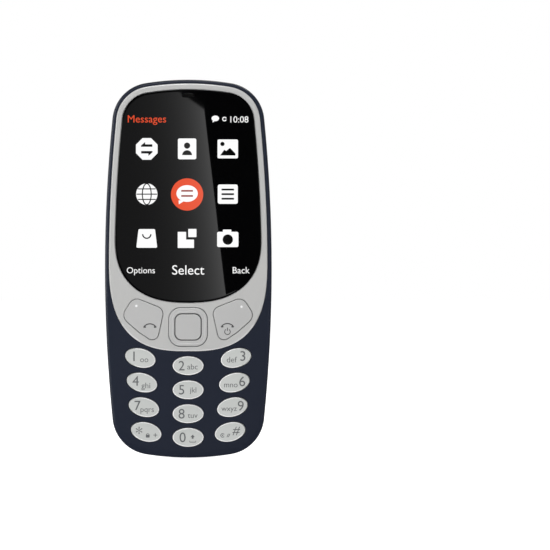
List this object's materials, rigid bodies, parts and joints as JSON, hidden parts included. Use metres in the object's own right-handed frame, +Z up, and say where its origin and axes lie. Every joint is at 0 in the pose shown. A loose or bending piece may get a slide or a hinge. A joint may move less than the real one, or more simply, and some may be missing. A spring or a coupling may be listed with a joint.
{
  "type": "push-button mobile phone",
  "caption": "Slim candy-bar mobile phone with a colour display, oval number keys, a navigation ring and a pull-off wrap-around back cover over a removable battery.",
  "frame": {"origin": "middle of the bottom end, on the surface the phone stands on when held upright", "axes": "+X to the right seen from the front, +Y out of the back, +Z up the length; the keys and screen face -Y"},
  "size_m": [0.051, 0.0128, 0.1156],
  "materials": {
    "navy_housing": "moulded polycarbonate, fine matte texture",
    "navy_cover": "soft matte polycarbonate with a very fine grain",
    "silver_surround": "satin silver paint",
    "silver_key": "satin silver paint",
    "oval_key": "pale grey keys under clear lacquer, thin grey characters",
    "window": "polished black window over a lit colour display",
    "display": "display glass",
    "light_guide": "clear moulded light guide",
    "sheet_steel": "folded tinned sheet",
    "dark_plastic": "black moulded plastic",
    "chassis_plastic": "dark grey moulded frame",
    "board": "solder resist over glass-fibre board",
    "gold_contact": "gold-plated contacts",
    "mat_rubber": "translucent silicone",
    "camera_trim": "bright silver trim",
    "camera_glass": "dark coated window",
    "lens_clear": "frosted clear lens",
    "mesh_cloth": "black acoustic mesh",
    "cell": "drawn aluminium can",
    "wrap": "printed plastic wrap",
    "screw_steel": "blackened steel"
  },
  "bodies": {
    "phone": {"front_housing": "navy_housing", "screen_bezel": "silver_surround", "screen_window": "window", "lcd_panel": "display", "light_guide": "light_guide", "lcd_tray": "sheet_steel", "earpiece": "sheet_steel", "earpiece_mesh": "mesh_cloth", "chassis": "chassis_plastic", "main_board": "board", "shield_cans": "sheet_steel", "key_domes": "gold_contact", "keypad_mat": "mat_rubber", "sim_sockets": "sheet_steel", "memory_card_socket": "sheet_steel", "battery_contacts": "dark_plastic", "camera_module": "dark_plastic", "flash_led": "lens_clear", "loudspeaker": "dark_plastic", "usb_socket": "sheet_steel", "usb_tongue": "dark_plastic", "headphone_socket": "dark_plastic", "vibration_motor": "sheet_steel", "microphone": "sheet_steel", "antenna_strip": "gold_contact", "housing_screws": "screw_steel", "board_screws": "screw_steel"},
    "cover": {"back_cover": "navy_cover", "camera_ring": "camera_trim", "camera_window": "camera_glass", "flash_lens": "lens_clear", "loudspeaker_mesh": "mesh_cloth"},
    "battery": {"battery_cell": "cell", "battery_cap": "dark_plastic", "battery_wrap": "wrap"},
    "vibration_rotor": {"vibration_weight": "screw_steel", "vibration_shaft": "screw_steel"},
    "left_function_key": {"left_function_key": "silver_key"},
    "right_function_key": {"right_function_key": "silver_key"},
    "navigation_pad": {"navigation_pad": "mat_rubber"},
    "navigation_ring": {"navigation_ring": "silver_key"},
    "select_key": {"select_key": "silver_key"},
    "key_1": {"key_1": "oval_key"},
    "key_2": {"key_2": "oval_key"},
    "key_3": {"key_3": "oval_key"},
    "key_4": {"key_4": "oval_key"},
    "key_5": {"key_5": "oval_key"},
    "key_6": {"key_6": "oval_key"},
    "key_7": {"key_7": "oval_key"},
    "key_8": {"key_8": "oval_key"},
    "key_9": {"key_9": "oval_key"},
    "key_star": {"key_star": "oval_key"},
    "key_0": {"key_0": "oval_key"},
    "key_hash": {"key_hash": "oval_key"}
  },
  "joints": [
    {"name": "back_cover_pull", "type": "slide", "parent": "phone", "child": "cover", "axis": [0, 1, 0], "range_m": [0, 0.04]},
    {"name": "battery_lift", "type": "slide", "parent": "phone", "child": "battery", "axis": [0, 1, 0], "range_m": [0, 0.02]},
    {"name": "key_1_press", "type": "slide", "parent": "phone", "child": "key_1", "axis": [0, 1, 0], "range_m": [0, 0.00035], "stiffness_N_per_m": 900},
    {"name": "key_2_press", "type": "slide", "parent": "phone", "child": "key_2", "axis": [0, 1, 0], "range_m": [0, 0.00035], "stiffness_N_per_m": 900},
    {"name": "key_3_press", "type": "slide", "parent": "phone", "child": "key_3", "axis": [0, 1, 0], "range_m": [0, 0.00035], "stiffness_N_per_m": 900},
    {"name": "key_4_press", "type": "slide", "parent": "phone", "child": "key_4", "axis": [0, 1, 0], "range_m": [0, 0.00035], "stiffness_N_per_m": 900},
    {"name": "key_5_press", "type": "slide", "parent": "phone", "child": "key_5", "axis": [0, 1, 0], "range_m": [0, 0.00035], "stiffness_N_per_m": 900},
    {"name": "key_6_press", "type": "slide", "parent": "phone", "child": "key_6", "axis": [0, 1, 0], "range_m": [0, 0.00035], "stiffness_N_per_m": 900},
    {"name": "key_7_press", "type": "slide", "parent": "phone", "child": "key_7", "axis": [0, 1, 0], "range_m": [0, 0.00035], "stiffness_N_per_m": 900},
    {"name": "key_8_press", "type": "slide", "parent": "phone", "child": "key_8", "axis": [0, 1, 0], "range_m": [0, 0.00035], "stiffness_N_per_m": 900},
    {"name": "key_9_press", "type": "slide", "parent": "phone", "child": "key_9", "axis": [0, 1, 0], "range_m": [0, 0.00035], "stiffness_N_per_m": 900},
    {"name": "key_star_press", "type": "slide", "parent": "phone", "child": "key_star", "axis": [0, 1, 0], "range_m": [0, 0.00035], "stiffness_N_per_m": 900},
    {"name": "key_0_press", "type": "slide", "parent": "phone", "child": "key_0", "axis": [0, 1, 0], "range_m": [0, 0.00035], "stiffness_N_per_m": 900},
    {"name": "key_hash_press", "type": "slide", "parent": "phone", "child": "key_hash", "axis": [0, 1, 0], "range_m": [0, 0.00035], "stiffness_N_per_m": 900},
    {"name": "left_function_key_rock", "type": "hinge", "parent": "phone", "child": "left_function_key", "pos_m": [-0.0135, -0.0049, 0.0415], "axis": [0.7575, 0, 0.6528], "range_deg": [-2.5, 2.5], "stiffness_Nm_per_rad": 0.05},
    {"name": "navigation_up_down", "type": "hinge", "parent": "phone", "child": "navigation_pad", "pos_m": [0, -0.0049, 0.04], "axis": [1, 0, 0], "range_deg": [-2, 2], "stiffness_Nm_per_rad": 0.05},
    {"name": "navigation_left_right", "type": "hinge", "parent": "navigation_pad", "child": "navigation_ring", "pos_m": [0, -0.0049, 0.04], "axis": [0, 0, 1], "range_deg": [-2, 2], "stiffness_Nm_per_rad": 0.05},
    {"name": "right_function_key_rock", "type": "hinge", "parent": "phone", "child": "right_function_key", "pos_m": [0.0135, -0.0049, 0.0415], "axis": [0.7575, 0, -0.6528], "range_deg": [-2.5, 2.5], "stiffness_Nm_per_rad": 0.05},
    {"name": "select_key_press", "type": "slide", "parent": "phone", "child": "select_key", "axis": [0, 1, 0], "range_m": [0, 0.00035], "stiffness_N_per_m": 900},
    {"name": "vibration_motor_spin", "type": "hinge", "parent": "phone", "child": "vibration_rotor", "pos_m": [-0.013, 0.0022, 0.1], "axis": [0, 0, 1], "continuous": true}
  ],
  "couplings": [
    {"joint": "battery_lift", "follows": "back_cover_pull", "ratio": 0.5}
  ]
}
